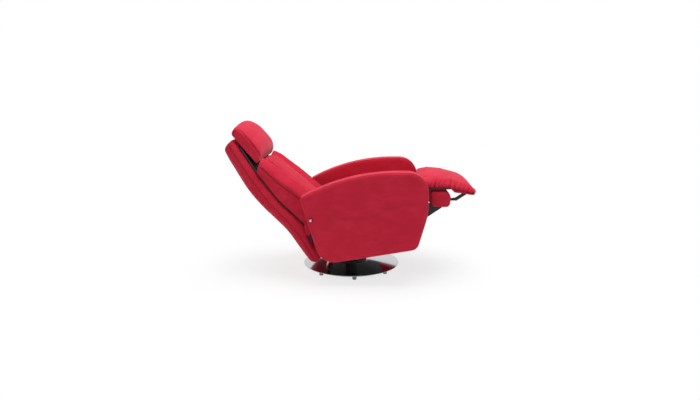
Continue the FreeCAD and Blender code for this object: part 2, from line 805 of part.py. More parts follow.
def make_back_cushion(hinge_tab):
    clear = 2 * soft_gap + board_thickness
    rear_line = moved_line(shell_front[:4], -clear)
    bend, waist = rear_line[1], rear_line[2]
    tuck = 0.13                # of the board's lowest straight part
    foot = [upper + (lower - upper) * tuck for lower, upper in zip(rear_line[0], bend)]
    swing = cushion_swing_radius
    pivot = recline_pivot
    front_edge = pivot[0] + swing
    front_slope = 0.837
    face_lean = math.atan(front_slope)
    front_top = pivot[0] - 272.0
    foot_drop = 46.0
    face_reach = swing / math.cos(face_lean)
    front_foot_height = pivot[1] + face_reach - swing * math.tan(face_lean)
    front_top_height = pivot[1] + face_reach + (pivot[0] - front_top) * front_slope
    shoulder_height = pivot[1] + 250.0
    shoulder = shell_front_at(shoulder_height) + clear / math.cos(shell_lean) + soft_gap
    corners = [
        (foot[0], foot[1], 8.0), (bend[0], bend[1], 60.0), (waist[0], waist[1], 400.0),
        (shoulder, shoulder_height, 12.0), (front_top, front_top_height, 13.0),
        (front_edge, front_foot_height, swing),
        (front_edge, pivot[1] - foot_drop, 34.0)]
    board_edge = (board_half_width + 2 * soft_gap) / back_half_width
    lip = board_thickness - 1.0
    bolster_profile = (
        (0.0, 14.0, 0.0), (0.3, 17.0, 0.0), (0.5, 26.0, 0.0), (0.58, 30.0, 0.0), (0.64, 16.0, 0.0),
        (0.76, 0.0, 0.0), (0.88, 7.0, 0.0), (board_edge, 15.0, 0.0), (0.96, 21.0, lip), (1.0, 38.0, lip))
    wires = []
    ordered = [(-row[0], row[1], row[2]) for row in reversed(bolster_profile[1:])] + list(bolster_profile)
    for station, front_inset, rear_growth in ordered:
        edge = abs(station)
        side_draw = 14.0 if edge > 0.99 else 5.0 if edge > 0.95 else 0.0
        rear_insets = [side_draw * 0.1 - rear_growth] * 3
        insets = rear_insets + [side_draw * 0.4, front_inset, front_inset, side_draw * 0.5]
        outline = shifted_corners(corners, insets)
        outline[5] = (outline[5][0], outline[5][1], swing - front_inset)
        wires.append(rounded_wire(station * back_half_width, outline))
    cushion = Part.makeLoft(wires, True, True)
    pocket = grown(hinge_tab, soft_gap)
    for _, sign in sides:
        low, high = both_ways(sign, board_half_width, back_half_width + overrun)
        cushion = cushion.cut(slab(low, high, pocket))
    guide_pockets = post_slabs(grown(guide_outline(), soft_gap), running_gap + guide_wall + soft_gap)
    for opening in guide_pockets + post_slabs(post_outline(soft_gap), soft_gap):
        cushion = cushion.cut(opening)
    save("back_cushion", cushion)


# Headrest

def make_headrest():
    corners = on_back([
        (262.0, -2.0, 14.0), (296.0, 62.0, 20.0), (237.0, 92.0, 110.0), (122.0, 108.0, 90.0),
        (72.5, 82.0, 16.0), (40.5, 33.0, 16.0), (47.0, 26.5, 7.0)])

    def pillow_inset(station):
        edge = abs(station)
        side_draw = 8.0 if edge > 0.99 else 3.0 if edge > 0.95 else 0.0
        arch = 40.0 * edge ** 2
        return [side_draw + arch * 0.2, side_draw + arch * 0.8, side_draw + arch * 0.6,
                side_draw + arch * 0.25, side_draw * 0.2, side_draw * 0.2, side_draw * 0.2]

    stations = (-1, -0.97, -0.9, -0.75, -0.5, -0.25, 0, 0.25, 0.5, 0.75, 0.9, 0.97, 1)
    pillow = padded_solid(headrest_half_width, stations, corners, pillow_inset)

    board_near = post_near + post_width + press_gap
    board_foot = 75.0
    board_head = 215.0
    board_overhang = 50.0
    board_half = post_offset + board_overhang
    near, far = board_near, board_near + 10.0
    board = bar_on_back(board_foot, board_head, near, far, 2.0)
    save("headrest_board", slab(-board_half, board_half, board))
    pocket = bar_on_back(board_foot, board_head, near, far, 2.0, soft_gap)
    pillow = pillow.cut(slab(-board_half - soft_gap, board_half + soft_gap, pocket))
    for opening in post_slabs(post_outline(soft_gap), soft_gap):
        pillow = pillow.cut(opening)
    save("headrest_pillow", pillow)
    save("headrest_posts", post_slabs(post_outline(), 0.0))

    blocks = post_slabs(guide_outline(), running_gap + guide_wall)
    channels = post_slabs(post_outline(running_gap), running_gap)
    save("headrest_guides", [block.cut(channel) for block, channel in zip(blocks, channels)])


# Legrest pad, flap and links

def bar_corners(start, end, radius):
    """A straight flat bar with round ends, between two pivots."""
    length = math.hypot(end[0] - start[0], end[1] - start[1])
    along = ((end[0] - start[0]) / length * radius, (end[1] - start[1]) / length * radius)
    square = (-along[1], along[0])
    round_end = radius * 0.98
    return [
        (start[0] - along[0] - square[0], start[1] - along[1] - square[1], round_end),
        (start[0] - along[0] + square[0], start[1] - along[1] + square[1], round_end),
        (end[0] + along[0] + square[0], end[1] + along[1] + square[1], round_end),
        (end[0] + along[0] - square[0], end[1] + along[1] - square[1], round_end)]


def link_far_pivot():
    """The link is as long as the two chair pivots are apart, and stays parallel to them."""
    return (link_end[0] + legrest_pivot[0] - flap_pivot[0], link_end[1] + legrest_pivot[1] - flap_pivot[1])


def make_legrest():
    pivot = legrest_pivot
    corners = placed(pivot, [
        (18.0, 119.0, 14.0), (140.0, 132.0, 330.0), (280.0, 96.0, 140.0), (326.0, 58.0, 50.0),
        (323.0, 22.0, 9.0), (292.0, 23.0, 30.0), (262.0, 33.0, 40.0), (208.0, 37.0, 12.0),
        (190.0, 60.0, 14.0), (54.0, 60.0, 18.0)])

    def pad_inset(station):
        edge = abs(station)
        side_draw = 13.0 if edge > 0.99 else 5.0 if edge > 0.95 else 0.0
        crown = 26.0 * edge ** 2
        tip = [crown * 0.6 + side_draw * 0.5, side_draw * 0.7, side_draw * 0.3, side_draw * 0.3]
        return [crown * 0.9 + side_draw, crown + side_draw] + tip + [0.0, 0.0, 0.0, side_draw * 0.7]

    stations = (-1, -0.97, -0.9, -0.6, -0.3, 0, 0.3, 0.6, 0.9, 0.97, 1)
    pad = padded_solid(pad_half_width, stations, corners, pad_inset)

    board_bottom = pivot[1] + 69.0
    board_rear = pivot[0] + 60.0
    board_front = pivot[0] + 206.0
    board_half = legrest_arm_offset + plate_thickness
    board = [(board_rear, board_bottom, 2.0), (board_rear, board_bottom + pad_board_thickness, 2.0),
             (board_front, board_bottom + pad_board_thickness, 2.0), (board_front, board_bottom, 2.0)]
    save("legrest_board", slab(-board_half, board_half, board))
    pad = pad.cut(slab(-board_half - soft_gap, board_half + soft_gap, grown(board, soft_gap)))

    reach = boss_radius
    neck = seat_cushion_front + 7
    arm_run = 150.0
    arm = [
        (pivot[0] - reach, pivot[1] - reach, reach), (pivot[0] - reach, pivot[1] + reach, reach),
        (neck, pivot[1] + reach, 6.0), (neck, pivot[1] + 60, 8.0), (neck + 22, board_bottom, 4.0),
        (neck + arm_run, board_bottom, 3.0), (neck + arm_run, board_bottom - 12, 3.0),
        (neck + 38, board_bottom - 14, 14.0),
        (neck + 24, pivot[1] + 44, 30.0), (neck + 18, pivot[1] - reach, 14.0)]
    far = link_far_pivot()
    lug = [(board_front - 30, board_bottom, 1.0), (board_front, board_bottom, 1.0)]
    lug += placed(far, [(10.0, 10.0, 9.5), (10.0, -10.0, 9.5), (-8.0, -10.0, 8.0)])
    swing = placed(far, [(-46.0, 12.0, 4.0), (40.0, 12.0, 4.0), (54.0, -60.0, 4.0), (-80.0, -60.0, 4.0)])
    pins = []
    arms = []
    lugs = []
    for _, sign in sides:
        low, high = both_ways(sign, legrest_arm_offset, legrest_arm_offset + plate_thickness)
        arms.append(bored(slab(low, high, arm), low, high, pivot, pin_radius + running_gap))
        pad = pad.cut(slab(low - soft_gap, high + soft_gap, grown(arm, soft_gap)))
        lug_near = link_offset + plate_thickness + link_side_gap
        low, high = both_ways(sign, lug_near, lug_near + plate_thickness)
        lugs.append(bored(slab(low, high, lug), low, high, far, link_pin_radius + press_gap))
        pad = pad.cut(slab(low - soft_gap, high + soft_gap, grown(lug, soft_gap)))
        low, high = both_ways(sign, link_offset - 3, lug_near + soft_gap)
        pad = pad.cut(slab(low, high, swing))
        low, high = both_ways(sign, link_offset - 2, lug_near + plate_thickness)
        pins.append(cylinder_across(low, high, far, link_pin_radius))
    save("legrest_arms", arms)
    save("link_lugs", lugs)
    save("legrest_pad", pad)
    save("link_pins", pins)


def make_links():
    far = link_far_pivot()
    links = []
    for _, sign in sides:
        low, high = both_ways(sign, link_offset, link_offset + plate_thickness)
        link = slab(low, high, bar_corners(link_end, far, 9.0))
        for pivot, room in ((far, running_gap), (link_end, link_play)):
            link = bored(link, low, high, pivot, link_pin_radius + room)
        links.append(link)
    save("pad_links", links)


def make_flap():
    pivot = flap_pivot
    corners = placed(pivot, [
        (140.0, 97.0, 14.0), (240.0, 95.0, 40.0), (260.0, 56.0, 30.0),
        (255.0, -1.0, 18.0), (142.0, -1.0, 22.0)])

    def flap_inset(station):
        edge = abs(station)
        side_draw = 9.0 if edge > 0.99 else 3.0 if edge > 0.95 else 0.0
        return [side_draw] * len(corners)

    stations = (-1, -0.97, -0.9, 0, 0.9, 0.97, 1)
    flap = padded_solid(pad_half_width, stations, corners, flap_inset)
    board_bottom = pivot[1] + 34.0
    board_top = board_bottom + pad_board_thickness
    board_rear = pivot[0] + 151.0
    board_front = pivot[0] + 248.0
    board_half = flap_arm_offset + plate_thickness + 2
    board = [(board_rear, board_bottom, 2.0), (board_rear, board_top, 2.0),
             (board_front, board_top, 2.0), (board_front, board_bottom, 2.0)]
    save("flap_board", slab(-board_half, board_half, board))
    pocket = grown(board, soft_gap)
    flap = flap.cut(slab(-board_half - soft_gap, board_half + soft_gap, pocket))

    reach = boss_radius
    arm = placed(pivot, [
        (-reach, -reach, reach), (-reach, reach, reach), (128.0, 16.0, 20.0), (156.0, 34.0, 4.0),
        (207.0, 34.0, 4.0), (209.0, -1.0, 10.0), (121.0, -62.0, 60.0), (50.0, -52.0, 40.0)])
    lug = [(board_front, board_bottom + soft_gap, 1.0), (board_front, board_top - soft_gap, 1.0)]
    lug += placed(link_end, [(9.0, 9.0, 8.8), (9.0, -9.0, 8.8), (-6.0, -9.0, 5.0)])
    pins = []
    arms = []
    lugs = []
    for _, sign in sides:
        low, high = both_ways(sign, flap_arm_offset, flap_arm_offset + plate_thickness)
        arms.append(bored(slab(low, high, arm), low, high, pivot, pin_radius + running_gap))
        flap = flap.cut(slab(low - soft_gap, high + soft_gap, grown(arm, soft_gap)))
        lug_far = link_offset - link_side_gap
        low, high = both_ways(sign, lug_far - plate_thickness, lug_far)
        lugs.append(bored(slab(low, high, lug), low, high, link_end, link_pin_radius + press_gap))
        flap = flap.cut(slab(low - soft_gap, high + soft_gap, grown(lug, soft_gap)))
        low, high = both_ways(sign, lug_far - plate_thickness, link_offset + plate_thickness)
        pins.append(cylinder_across(low, high, link_end, link_pin_radius))
    save("flap_arms", arms)
    save("flap_lugs", lugs)
    save("flap_pad", flap)
    save("flap_pins", pins)


def make_pivot_pins():
    head_height = 3.0
    spacer_radius = pin_radius * 1.6
    pins = []
    spacers = []
    for pivot, offset in ((legrest_pivot, legrest_arm_offset), (flap_pivot, flap_arm_offset)):
        for _, sign in sides:
            low, high = both_ways(sign, offset - head_height, plate_outer)
            pin = cylinder_across(low, high, pivot, pin_radius)
            low, high = both_ways(sign, offset - head_height, offset - soft_gap)
            pins.append(pin.fuse(cylinder_across(low, high, pivot, spacer_radius)))
            low, high = both_ways(sign, offset + plate_thickness + soft_gap, plate_inner - press_gap * 2)
            spacer = cylinder_across(low, high, pivot, spacer_radius)
            spacers.append(bored(spacer, low, high, pivot, pin_radius + press_gap * 2))
    save("leg_pivot_pins", pins)
    save("leg_pivot_spacers", spacers)


# Recline strut

def strut_solid(start_distance, end_distance, radius):
    """A round bar on the strut's line, between two distances from its front pivot."""
    front = point(0, strut_front_pivot)
    back = point(0, strut_back_pivot)
    direction = back - front
    direction.normalize()
    start = front + direction * start_distance
    return Part.makeCylinder(radius, end_distance - start_distance, start, direction)


def make_strut(tube_bottom):
    length = math.dist(strut_back_pivot, strut_front_pivot)
    half_eye = strut_eye_width / 2
    barrel_end = 205.0
    barrel_wall = 3.0
    piston_start = 60.0
    piston_length = 12.0
    cap = 10.0
    neck = strut_eye_radius - 2
    barrel_start = strut_eye_radius + 7
    barrel = strut_solid(barrel_start, barrel_end, strut_cylinder_radius)
    bore_radius = strut_cylinder_radius - barrel_wall
    barrel = barrel.cut(strut_solid(barrel_start + cap, barrel_end - cap, bore_radius))
    barrel = barrel.fuse(strut_solid(neck, barrel_start, half_eye))
    barrel = barrel.cut(strut_solid(barrel_end - cap - 1, barrel_end + 1, strut_rod_radius + running_gap))
    barrel = barrel.fuse(cylinder_across(-half_eye, half_eye, strut_front_pivot, strut_eye_radius))
    barrel = bored(barrel, -half_eye, half_eye, strut_front_pivot, strut_pin_radius + running_gap)
    save("strut_cylinder", barrel)

    rod = strut_solid(piston_start, length - neck, strut_rod_radius)
    piston_radius = strut_cylinder_radius - barrel_wall - running_gap
    rod = rod.fuse(strut_solid(piston_start, piston_start + piston_length, piston_radius))
    rod = rod.fuse(cylinder_across(-half_eye, half_eye, strut_back_pivot, strut_eye_radius))
    rod = bored(rod, -half_eye, half_eye, strut_back_pivot, strut_pin_radius + strut_eye_play)
    save("strut_rod", rod)

    cheek = 4.0
    cheek_near = half_eye + 0.5
    tube_top = tube_bottom + tube_side
    cheek_half = 12.0
    cheek_reach = 11.0
    cheek_round = 10.0
    drop = tube_top - strut_front_pivot[1]
    front_side = placed(strut_front_pivot, [
        (-cheek_half, drop, 1.0), (-cheek_half, cheek_reach, cheek_round),
        (cheek_half, cheek_reach, cheek_round), (cheek_half, drop, 1.0)])
    lower, upper = shell_front[0], shell_front[1]
    lean = math.atan2(lower[0] - upper[0], upper[1] - lower[1])
    stand_off = (soft_gap + board_thickness) / math.cos(lean)
    feet = []
    for height in (strut_back_pivot[1] - 14, strut_back_pivot[1] + 16):
        share = (height - lower[1]) / (upper[1] - lower[1])
        feet.append((lower[0] + (upper[0] - lower[0]) * share + stand_off + press_gap, height, 1.0))
    nose = placed(strut_back_pivot, [
        (cheek_reach, -cheek_reach, cheek_round), (cheek_reach, cheek_reach, cheek_round)])
    back_side = [feet[0]] + nose + [feet[1]]
    for name, pivot, side in (
            ("front", strut_front_pivot, front_side), ("back", strut_back_pivot, back_side)):
        cheeks = []
        for _, sign in sides:
            low, high = both_ways(sign, cheek_near, cheek_near + cheek)
            plate = slab(low, high, side)
            cheeks.append(bored(plate, low, high, pivot, strut_pin_radius + press_gap))
        save("strut_lugs_" + name, cheeks)
        pin_half = cheek_near + cheek
        save("strut_pin_" + name, cylinder_across(-pin_half, pin_half, pivot, strut_pin_radius))


def main():
    make_base()
    make_post()
    plate_top = make_swivel()
    tube_bottom = make_underframe(plate_top)
    make_side_plates(tube_bottom)
    make_arms()
    make_recline_bolts()
    make_seat()
    make_back()
    make_headrest()
    make_legrest()
    make_links()
    make_flap()
    make_pivot_pins()
    make_strut(tube_bottom)


main()
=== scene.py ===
# %% [markdown]
# A swivel recliner in a soft rose-red microfibre, with its back down and its legrest out.
# The steel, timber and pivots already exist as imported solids, so this lesson dresses them:
# it upholsters the padded parts, finishes the metal, and sets a plain studio around the chair.

import json
import math

import bmesh
import bpy
import numpy as np
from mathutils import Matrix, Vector
from mathutils.bvhtree import BVHTree

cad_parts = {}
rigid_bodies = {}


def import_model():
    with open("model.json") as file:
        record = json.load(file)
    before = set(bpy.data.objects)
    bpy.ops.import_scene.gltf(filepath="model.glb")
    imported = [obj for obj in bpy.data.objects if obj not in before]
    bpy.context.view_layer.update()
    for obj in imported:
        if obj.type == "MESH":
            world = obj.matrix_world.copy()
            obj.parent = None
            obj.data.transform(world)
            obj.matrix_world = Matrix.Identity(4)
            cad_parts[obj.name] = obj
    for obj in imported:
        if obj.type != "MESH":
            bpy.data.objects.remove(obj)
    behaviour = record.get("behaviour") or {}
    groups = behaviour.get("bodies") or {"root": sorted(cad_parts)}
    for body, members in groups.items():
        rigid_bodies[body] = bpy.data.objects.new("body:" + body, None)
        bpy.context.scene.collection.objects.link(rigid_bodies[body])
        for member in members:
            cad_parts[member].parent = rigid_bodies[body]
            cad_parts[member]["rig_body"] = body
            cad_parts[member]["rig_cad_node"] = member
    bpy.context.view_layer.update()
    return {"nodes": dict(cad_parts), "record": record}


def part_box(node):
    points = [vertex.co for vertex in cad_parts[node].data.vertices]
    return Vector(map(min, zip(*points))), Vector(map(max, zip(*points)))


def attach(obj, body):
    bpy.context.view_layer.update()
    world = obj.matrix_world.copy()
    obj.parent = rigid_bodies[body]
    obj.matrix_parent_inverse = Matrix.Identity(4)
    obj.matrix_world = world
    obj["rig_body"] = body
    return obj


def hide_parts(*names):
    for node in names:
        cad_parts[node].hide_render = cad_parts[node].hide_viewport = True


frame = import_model()
scene = bpy.context.scene

# %% [markdown]
# A few sizes drive the upholstery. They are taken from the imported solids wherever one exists,
# so the covers follow the chair if it is ever made wider or deeper.

# %% Sizes that the covers share
arm_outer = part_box("arm_pad_outer_left")[1].x
arm_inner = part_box("arm_pad_inner_left")[0].x
back_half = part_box("back_cushion")[1].x
head_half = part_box("headrest_pillow")[1].x
pad_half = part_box("legrest_pad")[1].x
seat_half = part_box("seat_cushion")[1].x
millimetre = 0.001
welt_radius = 2.6 * millimetre
welt_rise = 0.3
seam_inset = 30 * millimetre
print("arm faces at", round(arm_inner, 4), "and", round(arm_outer, 4))

# %% [markdown]
# Every modelling operator acts on what is selected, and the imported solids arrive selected.
# One small helper therefore clears the selection and picks a single piece, and another adds a
# modifier and applies it at once, so that no live modifier is left on a finished piece.

# %% Helpers for selecting and applying


def only(piece):
    bpy.ops.object.select_all(action="DESELECT")
    piece.select_set(True)
    bpy.context.view_layer.objects.active = piece


def apply_modifier(piece, kind, **settings):
    only(piece)
    modifier = piece.modifiers.new(kind.lower(), kind)
    for name, value in settings.items():
        setattr(modifier, name, value)
    bpy.ops.object.modifier_apply(modifier=modifier.name)


def read_points(piece):
    points = np.empty(len(piece.data.vertices) * 3)
    piece.data.vertices.foreach_get("co", points)
    return points.reshape(-1, 3)


def read_normals(piece):
    normals = np.empty(len(piece.data.vertices) * 3)
    piece.data.vertex_normals.foreach_get("vector", normals)
    return normals.reshape(-1, 3)


def write_points(piece, points):
    piece.data.vertices.foreach_set("co", points.reshape(-1))
    piece.data.update()


# %% [markdown]
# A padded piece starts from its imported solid. The solid has slots and pockets for the steel,
# which a cover would bridge, so the copy is first swollen until the slots close, remeshed into
# even small squares, stripped of its inner shells, and shrunk again to a little under its size.
# A lathe or a subdivided box could give the same outline, but the copy is sure to fit.

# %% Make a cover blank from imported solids


def cover_blank(name, nodes, voxel, closing, shrink):
    copies = []
    for node in nodes:
        source = frame["nodes"][node]
        copy = source.copy()
        copy.data = source.data.copy()
        copy.parent = None
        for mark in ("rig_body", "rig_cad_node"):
            if mark in copy:
                del copy[mark]
        scene.collection.objects.link(copy)
        copies.append(copy)
    only(copies[0])
    for copy in copies:
        copy.select_set(True)
    if len(copies) > 1:
        bpy.ops.object.join()
    piece = bpy.context.view_layer.objects.active
    piece.name = name
    piece.data.name = name
    piece.data.materials.clear()
    bpy.ops.object.mode_set(mode="EDIT")
    bpy.ops.mesh.select_all(action="SELECT")
    bpy.ops.mesh.remove_doubles(threshold=0.01 * millimetre)
    bpy.ops.object.mode_set(mode="OBJECT")
    apply_modifier(piece, "DISPLACE", strength=closing, mid_level=0.0)
    apply_modifier(piece, "REMESH", mode="VOXEL", voxel_size=voxel)
    keep_outer_shell(piece)
    apply_modifier(piece, "DISPLACE", strength=-(closing + shrink), mid_level=0.0)
    apply_modifier(piece, "SMOOTH", factor=0.5, iterations=6)
    print(name, "blank has", len(piece.data.vertices), "points")
    return piece


def keep_outer_shell(piece):
    """Inner shells are whole loose parts, so all but the largest loose part is deleted."""
    mesh = bmesh.new()
    mesh.from_mesh(piece.data)
    unseen = set(mesh.verts)
    shells = []
    while unseen:
        shell = [unseen.pop()]
        reached = 0
        while reached < len(shell):
            for edge in shell[reached].link_edges:
                other = edge.other_vert(shell[reached])
                if other in unseen:
                    unseen.discard(other)
                    shell.append(other)
            reached += 1
        shells.append(shell)
    shells.sort(key=len)
    for shell in shells[:-1]:
        bmesh.ops.delete(mesh, geom=shell, context="VERTS")
    mesh.to_mesh(piece.data)
    mesh.free()


# %% [markdown]
# Foam pushes its cover outwards, and the seams hold it back. A short cloth simulation with air
# pressure and no gravity gives that swell. Each point may travel only so far: a good deal on the
# side that a person leans on, and little at the flanks, where the arms and the shell stand close.


def swell(piece, facing, face_travel, side_travel, pressure=4.0, steps=20):
    facing = np.array(Vector(facing).normalized())
    before = read_points(piece)
    normals = read_normals(piece)
    toward = np.clip(normals @ facing, 0, 1)[:, None]
    limit = side_travel + (face_travel - side_travel) * toward
    only(piece)
    cloth = piece.modifiers.new("cloth", "CLOTH")
    cloth.settings.quality = 5
    cloth.settings.mass = 0.3
    cloth.settings.tension_stiffness = 12.0
    cloth.settings.compression_stiffness = 12.0
    cloth.settings.shear_stiffness = 5.0
    cloth.settings.bending_stiffness = 0.6
    cloth.settings.use_pressure = True
    cloth.settings.uniform_pressure_force = pressure
    cloth.settings.effector_weights.gravity = 0.0
    cloth.point_cache.frame_start = 1
    cloth.point_cache.frame_end = steps
    for step in range(1, steps + 1):
        scene.frame_set(step)
    bpy.ops.object.modifier_apply(modifier=cloth.name)
    scene.frame_set(1)
    moved = read_points(piece) - before
    length = np.linalg.norm(moved, axis=1, keepdims=True)
    write_points(piece, before + moved * np.minimum(1.0, limit / np.maximum(length, 1e-9)))
    apply_modifier(piece, "SMOOTH", factor=0.5, iterations=3)
    apply_modifier(piece, "SUBSURF", levels=1, render_levels=1)
    print(piece.name, "swelled, now", len(piece.data.vertices), "points")


# %% [markdown]
# Seams come after the simulation, which would blur them. A seam pulls the cover in along a line
# of the side view, or along a plane across the chair. Each pull is also written to a "seam"
# attribute, which the cloth's material reads to paint shade into the fold along the seam.

# %% Sew seams into a cover


def side_distance(points, line):
    """Distance of each point from a line of (forward, up) places, seen from the side."""
    seen = np.stack([-points[:, 1], points[:, 2]], axis=1)
    nearest = np.full(len(points), 1e9)
    for start, end in zip(line[:-1], line[1:]):
        start = np.array(start)
        along = np.array(end) - start
        share = np.clip(((seen - start) @ along) / (along @ along), 0, 1)
        gap = np.linalg.norm(seen - start - share[:, None] * along, axis=1)
        nearest = np.minimum(nearest, gap)
    return nearest


def sew(piece, distance, width, depth, where=None):
    points = read_points(piece)
    normals = read_normals(piece)
    pull = np.clip(1 - distance / width, 0, 1)
    pull = pull * pull * (3 - 2 * pull)
    if where is not None:
        pull = pull * where
    write_points(piece, points - normals * (depth * pull)[:, None])
    # Painted shade: the pull is stored in the seam attribute, which darkens the cloth along each seam,
    # crease and dimple.
    paint_seam_shade(piece, pull)


def paint_seam_shade(piece, pull):
    """Add painted shade to the seam attribute, keeping the deeper of the old and the new value."""
    attribute = piece.data.attributes.get("seam")
    if attribute is None:
        attribute = piece.data.attributes.new("seam", "FLOAT", "POINT")
    values = np.empty(len(piece.data.vertices))
    attribute.data.foreach_get("value", values)
    attribute.data.foreach_set("value", np.maximum(values, np.clip(pull * 1.3, 0, 1)))


def flank(points, half_width, reach=0.03):
    """1 on the outer flanks of a piece, fading to 0 by the given reach inwards."""
    return np.clip((np.abs(points[:, 0]) - (half_width - reach)) / reach * 2, 0, 1)


# %% [markdown]
# A welt is a cord sewn into the cover where two panels meet. Its path is where a plane cuts the
# finished cover, so it lies on the cloth everywhere; the path is smoothed and made a thin tube, painted
# lighter as a highlight.

# %% Sew a welt round a cover


def cut_path(piece, place):
    """The longest loop in which the plane X = place cuts a cover."""
    mesh = bmesh.new()
    mesh.from_mesh(piece.data)
    everything = mesh.verts[:] + mesh.edges[:] + mesh.faces[:]
    cut = bmesh.ops.bisect_plane(mesh, geom=everything, plane_co=(place, 0, 0), plane_no=(1, 0, 0))
    edges = {item for item in cut["geom_cut"] if isinstance(item, bmesh.types.BMEdge)}
    neighbours = {}
    for edge in edges:
        for vertex in edge.verts:
            neighbours.setdefault(vertex, []).append(edge.other_vert(vertex))
    loops = []
    unseen = set(neighbours)
    while unseen:
        walk = [min(unseen, key=lambda vertex: vertex.index)]
        unseen.discard(walk[0])
        going = True
        while going:
            going = False
            for other in neighbours[walk[-1]]:
                if other in unseen:
                    unseen.discard(other)
                    walk.append(other)
                    going = True
                    break
        loops.append([vertex.co.copy() for vertex in walk])
    mesh.free()
    return max(loops, key=len)


def add_welt(name, piece, place, body):
    path = np.array([tuple(co) for co in cut_path(piece, place)])
    for _ in range(4):
        path = (np.roll(path, 1, axis=0) + path * 2 + np.roll(path, -1, axis=0)) / 4
    centre = path.mean(axis=0)
    outward = path - centre
    outward /= np.linalg.norm(outward, axis=1, keepdims=True)
    path = path + outward * welt_radius * welt_rise
    path = path[::2]
    curve = bpy.data.curves.new(name, "CURVE")
    curve.dimensions = "3D"
    spline = curve.splines.new("POLY")
    spline.points.add(len(path) - 1)
    spline.points.foreach_set("co", np.column_stack([path, np.ones(len(path))]).reshape(-1))
    spline.use_cyclic_u = True
    curve.bevel_depth = welt_radius
    curve.bevel_resolution = 2
    tube = bpy.data.objects.new(name, curve)
    scene.collection.objects.link(tube)
    only(tube)
    bpy.ops.object.convert(target="MESH")
    tube = bpy.context.view_layer.objects.active
    tube.name = name
    bpy.ops.object.shade_smooth()
    # Painted highlight: every point of the welt is marked, and the cloth's material paints the whole
    # welt lighter, as light catching its rounded top.
    welt_highlight = tube.data.attributes.new("welt_highlight", "FLOAT", "POINT")
    welt_highlight.data.foreach_set("value", np.ones(len(tube.data.vertices)))
    tube.data.materials.append(cloth_finish)
    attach(tube, body)
    print(name, "welt runs", len(path), "points")


# %% [markdown]
# The cover is a napped microfibre. It has no weave to see; what shows is a short nap that
# glows at grazing angles, hand-brushed patches a little lighter and darker, and fine grain.
# Sheen gives the glow, three scales of noise give the patches and grain, and all patterns use
# object coordinates, because a remeshed cover has no unwrapped map.

# %% Finish for the cloth


def new_finish(name):
    finish = bpy.data.materials.new(name)
    finish.use_nodes = True
    nodes = finish.node_tree.nodes
    shader = nodes["Principled BSDF"]
    return finish, nodes, finish.node_tree.links, shader


def add_noise(nodes, links, scale, detail, stretch=(1, 1, 1)):
    place = nodes.new("ShaderNodeTexCoord")
    mapping = nodes.new("ShaderNodeMapping")
    mapping.inputs["Scale"].default_value = stretch
    noise = nodes.new("ShaderNodeTexNoise")
    noise.inputs["Scale"].default_value = scale
    noise.inputs["Detail"].default_value = detail
    links.new(place.outputs["Object"], mapping.inputs["Vector"])
    links.new(mapping.outputs["Vector"], noise.inputs["Vector"])
    return noise.outputs["Fac"]


def blend_colours(nodes, links, first, second, factor, low=0.0, high=1.0):
    ramp = nodes.new("ShaderNodeMapRange")
    ramp.inputs["From Min"].default_value = low
    ramp.inputs["From Max"].default_value = high
    links.new(factor, ramp.inputs["Value"])
    mix = nodes.new("ShaderNodeMix")
    mix.data_type = "RGBA"
    links.new(ramp.outputs["Result"], mix.inputs["Factor"])
    for socket, value in ((mix.inputs["A"], first), (mix.inputs["B"], second)):
        if isinstance(value, tuple):
            socket.default_value = (*value, 1.0)
        else:
            links.new(value, socket)
    return mix.outputs["Result"]


def add_bump(nodes, links, height, strength, distance, before=None):
    bump = nodes.new("ShaderNodeBump")
    bump.inputs["Strength"].default_value = strength
    bump.inputs["Distance"].default_value = distance
    links.new(height, bump.inputs["Height"])
    if before is not None:
        links.new(before, bump.inputs["Normal"])
    return bump.outputs["Normal"]


def make_cloth_finish():
    finish, nodes, links, shader = new_finish("rose_microfibre")
    deep = (0.46, 0.009, 0.030)
    middle = (0.51, 0.012, 0.037)
    bright = (0.62, 0.024, 0.062)
    fold_shade = (0.24, 0.006, 0.016)
    patches = add_noise(nodes, links, 7.0, 3.0)
    brushed = add_noise(nodes, links, 26.0, 4.0, stretch=(1.0, 0.6, 1.4))
    grain = add_noise(nodes, links, 900.0, 2.0)
    colour = blend_colours(nodes, links, deep, middle, patches, 0.3, 0.7)
    colour = blend_colours(nodes, links, colour, bright, brushed, 0.45, 1.15)
    # Painted highlight: the attribute on each welt lightens it all along toward the bright tint.
    # Painted shade: the seam attribute darkens the cloth toward a dark tint in seams, creases and fold
    # valleys.
    for name, tint, reach in (("seam", fold_shade, 2.0), ("welt_highlight", bright, 1.2)):
        mark = nodes.new("ShaderNodeAttribute")
        mark.attribute_name = name
        colour = blend_colours(nodes, links, colour, tint, mark.outputs["Fac"], 0.0, reach)
    links.new(colour, shader.inputs["Base Color"])
    shader.inputs["Roughness"].default_value = 0.88
    shader.inputs["Specular IOR Level"].default_value = 0.25
    shader.inputs["Sheen Weight"].default_value = 0.28
    shader.inputs["Sheen Roughness"].default_value = 0.35
    shader.inputs["Sheen Tint"].default_value = (1.0, 0.45, 0.55, 1.0)
    normal = add_bump(nodes, links, brushed, 0.15, 1.0 * millimetre)
    normal = add_bump(nodes, links, grain, 0.35, 0.3 * millimetre, normal)
    links.new(normal, shader.inputs["Normal"])
    return finish


def make_thread_finish():
    finish, nodes, links, shader = new_finish("polyester_thread")
    twist = add_noise(nodes, links, 1400.0, 2.0, stretch=(1.0, 1.0, 0.3))
    colour = blend_colours(nodes, links, (0.30, 0.006, 0.020), (0.50, 0.016, 0.045), twist, 0.35, 0.65)
    links.new(colour, shader.inputs["Base Color"])
    shader.inputs["Roughness"].default_value = 0.5
    links.new(add_bump(nodes, links, twist, 0.4, 0.1 * millimetre), shader.inputs["Normal"])
    return finish


cloth_finish = make_cloth_finish()
thread_finish = make_thread_finish()
print("cloth finish has", len(cloth_finish.node_tree.nodes), "nodes")

